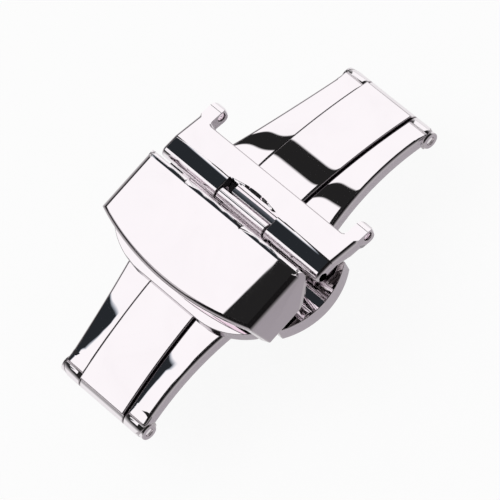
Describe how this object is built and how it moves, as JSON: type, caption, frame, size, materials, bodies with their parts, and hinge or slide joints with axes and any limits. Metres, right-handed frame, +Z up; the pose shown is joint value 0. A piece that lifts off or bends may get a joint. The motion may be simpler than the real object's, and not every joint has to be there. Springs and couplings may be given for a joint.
{
  "type": "watch strap butterfly clasp",
  "caption": "Push button butterfly clasp for a watch strap, folded shut: arched base, forked arms, hinged strap lug with ears and a hinged cover over the strap stud.",
  "frame": {"origin": "middle of the footprint, on the table under the end hinges", "axes": "+X along the clasp towards the strap lug, +Y across the strap, +Z up from the wrist side to the cover"},
  "size_m": [0.039, 0.0224, 0.0096],
  "materials": {
    "polished_steel": "mirror polished stainless steel",
    "satin_steel": "fine satin stainless steel",
    "pin_steel": "turned and polished steel",
    "spring_steel": "drawn spring wire"
  },
  "bodies": {
    "base": {"base_plate": "polished_steel", "catch_housing": "satin_steel", "housing_floor": "satin_steel", "housing_rivets": "pin_steel", "spring_front": "spring_steel", "spring_back": "spring_steel"},
    "left_arm": {"arm_left": "polished_steel", "end_pin_left": "pin_steel", "plate_pin": "pin_steel"},
    "right_arm": {"arm_right": "polished_steel", "end_pin_right": "pin_steel", "lug_pin": "pin_steel"},
    "lug": {"strap_lug": "polished_steel"},
    "plate": {"strap_plate": "satin_steel", "strap_stud": "pin_steel", "cover_pin": "pin_steel"},
    "lid": {"cover": "polished_steel"},
    "front_button": {"button_front": "polished_steel", "latch_front": "satin_steel"},
    "back_button": {"button_back": "polished_steel", "latch_back": "satin_steel"}
  },
  "joints": [
    {"name": "arm_left_fold", "type": "hinge", "parent": "base", "child": "left_arm", "pos_m": [-0.01855, 0, 0.00095], "axis": [0, -1, 0], "range_deg": [0, 170]},
    {"name": "arm_right_fold", "type": "hinge", "parent": "base", "child": "right_arm", "pos_m": [0.01855, 0, 0.00095], "axis": [0, 1, 0], "range_deg": [0, 170]},
    {"name": "lug_swing", "type": "hinge", "parent": "right_arm", "child": "lug", "pos_m": [0.0016, 0, 0.00662], "axis": [0, -1, 0], "range_deg": [0, 90]},
    {"name": "strap_plate_swing", "type": "hinge", "parent": "left_arm", "child": "plate", "pos_m": [-0.00125, 0, 0.00652], "axis": [0, 1, 0], "range_deg": [0, 15]},
    {"name": "cover_open", "type": "hinge", "parent": "plate", "child": "lid", "pos_m": [-0.0011, 0, 0.00817], "axis": [0, 1, 0], "range_deg": [0, 85]},
    {"name": "button_front_push", "type": "slide", "parent": "base", "child": "front_button", "axis": [0, 1, 0], "range_m": [0, 0.0007], "stiffness_N_per_m": 300, "springref_m": -0.001, "deforming": ["spring_front"]},
    {"name": "button_back_push", "type": "slide", "parent": "base", "child": "back_button", "axis": [0, -1, 0], "range_m": [0, 0.0007], "stiffness_N_per_m": 300, "springref_m": -0.001, "deforming": ["spring_back"]}
  ]
}
